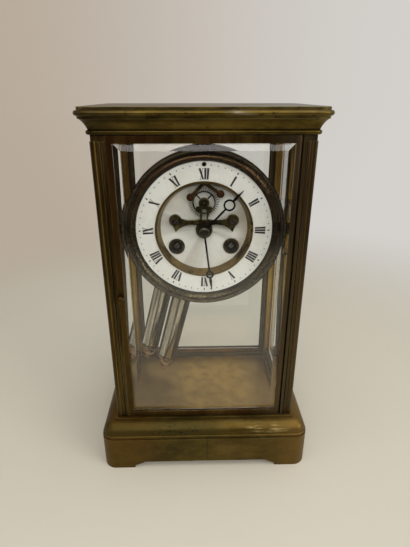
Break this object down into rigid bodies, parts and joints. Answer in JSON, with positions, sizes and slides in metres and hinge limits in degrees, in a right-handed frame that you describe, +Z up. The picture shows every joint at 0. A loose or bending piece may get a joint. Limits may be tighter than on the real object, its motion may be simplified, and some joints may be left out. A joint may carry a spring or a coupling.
{
  "type": "mantel clock",
  "caption": "Four-glass mantel clock: brass case with moulded pillars and hinged bevelled doors, enamel dial with open escapement, bell strike and two-vial pendulum.",
  "frame": {"origin": "under the middle of the base, on the surface it stands on", "axes": "+Z up, the dial faces -Y, +X to the right seen from the front"},
  "size_m": [0.1646, 0.1212, 0.2736],
  "materials": {
    "aged_brass": "patinated, worn bright on the mouldings",
    "floor_brass": "polished, tarnished",
    "fitting_brass": "satin",
    "bezel_bronze": "dark patina, satin",
    "pane_glass": "polished, bevelled",
    "chapter_enamel": "fired enamel, glossy",
    "centre_enamel": "fired enamel, glossy",
    "sight_brass": "turned, polished",
    "cock_bronze": "satin, tarnished",
    "blued_steel": "blued, polished",
    "dark_steel": "tarnished",
    "ruby": "polished stone",
    "movement_brass": "satin",
    "bell_metal": "turned",
    "spring_steel": "bright",
    "pendulum_brass": "polished, tarnished",
    "vial_glass": "polished",
    "mercury": "liquid metal behind glass"
  },
  "bodies": {
    "case": {"back_plate": "movement_brass", "base_plinth": "aged_brass", "bell": "bell_metal", "bell_stand": "dark_steel", "chapter_ring": "chapter_enamel", "cornice": "aged_brass", "dial_bezel": "bezel_bronze", "dial_centre": "centre_enamel", "escapement_cock": "cock_bronze", "floor_plate": "floor_brass", "front_plate": "movement_brass", "hinge_pins": "fitting_brass", "movement_straps": "fitting_brass", "pillar_back_left": "aged_brass", "pillar_back_right": "aged_brass", "pillar_front_left": "aged_brass", "pillar_front_right": "aged_brass", "plate_posts": "movement_brass", "side_glass_left": "pane_glass", "side_glass_right": "pane_glass", "side_rails": "aged_brass", "sight_ring": "sight_brass", "suspension_block": "movement_brass", "suspension_spring": "spring_steel", "tie_rods": "dark_steel", "winding_collets": "sight_brass"},
    "front_door": {"front_door_frame": "aged_brass", "front_glass": "pane_glass"},
    "front_latch": {"front_latch": "fitting_brass"},
    "back_door": {"back_door_frame": "aged_brass", "back_glass": "pane_glass"},
    "back_latch": {"back_latch": "fitting_brass"},
    "minute": {"minute_hand": "blued_steel", "hand_nut": "blued_steel", "cannon_pinion": "movement_brass"},
    "minute_wheel": {"minute_wheel": "movement_brass"},
    "hour": {"hour_hand": "blued_steel", "hour_wheel": "movement_brass"},
    "anchor": {"anchor": "dark_steel", "pallet_jewels": "ruby"},
    "escape_wheel": {"escape_wheel": "dark_steel"},
    "third_wheel": {"third_wheel": "movement_brass"},
    "centre_wheel": {"centre_wheel": "movement_brass"},
    "going_barrel": {"going_barrel": "movement_brass"},
    "going_arbor": {"going_arbor": "dark_steel"},
    "going_click": {"going_click": "dark_steel"},
    "fly": {"fly": "movement_brass"},
    "pin_wheel": {"pin_wheel": "movement_brass"},
    "strike_wheel": {"strike_wheel": "movement_brass"},
    "strike_barrel": {"strike_barrel": "movement_brass"},
    "strike_arbor": {"strike_arbor": "dark_steel"},
    "strike_click": {"strike_click": "dark_steel"},
    "hammer": {"hammer": "dark_steel"},
    "regulator": {"regulator_arbor": "dark_steel"},
    "pendulum": {"pendulum_rod": "pendulum_brass"},
    "crutch": {"crutch": "dark_steel"},
    "bob": {"vial_frame": "pendulum_brass", "glass_vials": "vial_glass", "mercury_columns": "mercury"},
    "rating_nut": {"rating_nut": "pendulum_brass"}
  },
  "joints": [
    {"name": "front_door_hinge", "type": "hinge", "parent": "case", "child": "front_door", "pos_m": [0.0582, -0.04595, 0.15], "axis": [0, 0, 1], "range_deg": [0, 92]},
    {"name": "front_latch_turn", "type": "hinge", "parent": "front_door", "child": "front_latch", "pos_m": [-0.059, -0.04825, 0.1487], "axis": [0, -1, 0], "range_deg": [0, 90]},
    {"name": "back_door_hinge", "type": "hinge", "parent": "case", "child": "back_door", "pos_m": [-0.0582, 0.04595, 0.15], "axis": [0, 0, 1], "range_deg": [0, 92]},
    {"name": "back_latch_turn", "type": "hinge", "parent": "back_door", "child": "back_latch", "pos_m": [0.059, 0.04825, 0.1487], "axis": [0, 1, 0], "range_deg": [0, 90]},
    {"name": "minute_hand_turn", "type": "hinge", "parent": "case", "child": "minute", "pos_m": [0, -0.037, 0.1929], "axis": [0, -1, 0], "continuous": true},
    {"name": "minute_wheel_turn", "type": "hinge", "parent": "case", "child": "minute_wheel", "pos_m": [0, -0.02, 0.1833], "axis": [0, -1, 0], "continuous": true},
    {"name": "hour_hand_turn", "type": "hinge", "parent": "case", "child": "hour", "pos_m": [0, -0.035, 0.1929], "axis": [0, -1, 0], "continuous": true},
    {"name": "anchor_rock", "type": "hinge", "parent": "case", "child": "anchor", "pos_m": [0, -0.03, 0.2259], "axis": [0, -1, 0], "range_deg": [-12, 0]},
    {"name": "escape_wheel_turn", "type": "hinge", "parent": "case", "child": "escape_wheel", "pos_m": [0, -0.029, 0.212], "axis": [0, -1, 0], "range_deg": [-6, 1]},
    {"name": "third_wheel_turn", "type": "hinge", "parent": "case", "child": "third_wheel", "pos_m": [0.0085, 0.007, 0.2039], "axis": [0, -1, 0], "range_deg": [-0.5, 1]},
    {"name": "centre_wheel_turn", "type": "hinge", "parent": "case", "child": "centre_wheel", "pos_m": [0, 0.005, 0.1929], "axis": [0, -1, 0], "range_deg": [-0.5, 0.5]},
    {"name": "going_barrel_turn", "type": "hinge", "parent": "case", "child": "going_barrel", "pos_m": [0.0196, -0.005, 0.1794], "axis": [0, -1, 0], "range_deg": [-0.5, 0.5]},
    {"name": "going_winding", "type": "hinge", "parent": "case", "child": "going_arbor", "pos_m": [0.0196, -0.02, 0.1794], "axis": [0, -1, 0], "continuous": true},
    {"name": "going_click_lift", "type": "hinge", "parent": "case", "child": "going_click", "pos_m": [0.03, -0.019, 0.1809], "axis": [0, -1, 0], "range_deg": [0, 12]},
    {"name": "fly_turn", "type": "hinge", "parent": "case", "child": "fly", "pos_m": [-0.008, -0.005, 0.2214], "axis": [0, -1, 0], "continuous": true},
    {"name": "pin_wheel_turn", "type": "hinge", "parent": "case", "child": "pin_wheel", "pos_m": [-0.0125, 0, 0.2119], "axis": [0, -1, 0], "continuous": true},
    {"name": "strike_wheel_turn", "type": "hinge", "parent": "case", "child": "strike_wheel", "pos_m": [-0.022, 0, 0.2031], "axis": [0, -1, 0], "continuous": true},
    {"name": "strike_barrel_turn", "type": "hinge", "parent": "case", "child": "strike_barrel", "pos_m": [-0.0196, -0.005, 0.1794], "axis": [0, -1, 0], "continuous": true},
    {"name": "strike_winding", "type": "hinge", "parent": "case", "child": "strike_arbor", "pos_m": [-0.0196, -0.02, 0.1794], "axis": [0, -1, 0], "continuous": true},
    {"name": "strike_click_lift", "type": "hinge", "parent": "case", "child": "strike_click", "pos_m": [-0.03, -0.019, 0.1809], "axis": [0, -1, 0], "range_deg": [0, 12]},
    {"name": "hammer_lift", "type": "hinge", "parent": "case", "child": "hammer", "pos_m": [-0.024, 0.02, 0.2189], "axis": [0, -1, 0], "range_deg": [-12, 0]},
    {"name": "regulator_turn", "type": "hinge", "parent": "case", "child": "regulator", "pos_m": [0, 0, 0.2381], "axis": [0, -1, 0], "continuous": true},
    {"name": "pendulum_swing", "type": "hinge", "parent": "case", "child": "pendulum", "pos_m": [0, 0.01915, 0.2259], "axis": [0, 1, 0], "range_deg": [-28.6, 0]},
    {"name": "crutch_swing", "type": "hinge", "parent": "case", "child": "crutch", "pos_m": [0, 0.013, 0.2259], "axis": [0, 1, 0], "range_deg": [-28.6, 0]},
    {"name": "bob_turn", "type": "hinge", "parent": "pendulum", "child": "bob", "pos_m": [-0.01952, 0.01915, 0.14935], "axis": [0.2471, 0, 0.969], "range_deg": [0, 70.8]},
    {"name": "rating_nut_turn", "type": "hinge", "parent": "pendulum", "child": "rating_nut", "pos_m": [-0.01952, 0.01915, 0.14935], "axis": [0.2471, 0, 0.969], "continuous": true}
  ],
  "couplings": [
    {"joint": "minute_wheel_turn", "follows": "minute_hand_turn", "ratio": -0.33333},
    {"joint": "hour_hand_turn", "follows": "minute_hand_turn", "ratio": 0.083333},
    {"joint": "escape_wheel_turn", "follows": "anchor_rock", "ratio": 0.41667},
    {"joint": "third_wheel_turn", "follows": "anchor_rock", "ratio": -0.037879},
    {"joint": "centre_wheel_turn", "follows": "anchor_rock", "ratio": 0.0031566},
    {"joint": "going_barrel_turn", "follows": "anchor_rock", "ratio": -0.00045094},
    {"joint": "pin_wheel_turn", "follows": "fly_turn", "ratio": -0.1},
    {"joint": "strike_wheel_turn", "follows": "fly_turn", "ratio": 0.0083333},
    {"joint": "strike_barrel_turn", "follows": "fly_turn", "ratio": -0.0011905},
    {"joint": "crutch_swing", "follows": "pendulum_swing", "ratio": 1}
  ]
}
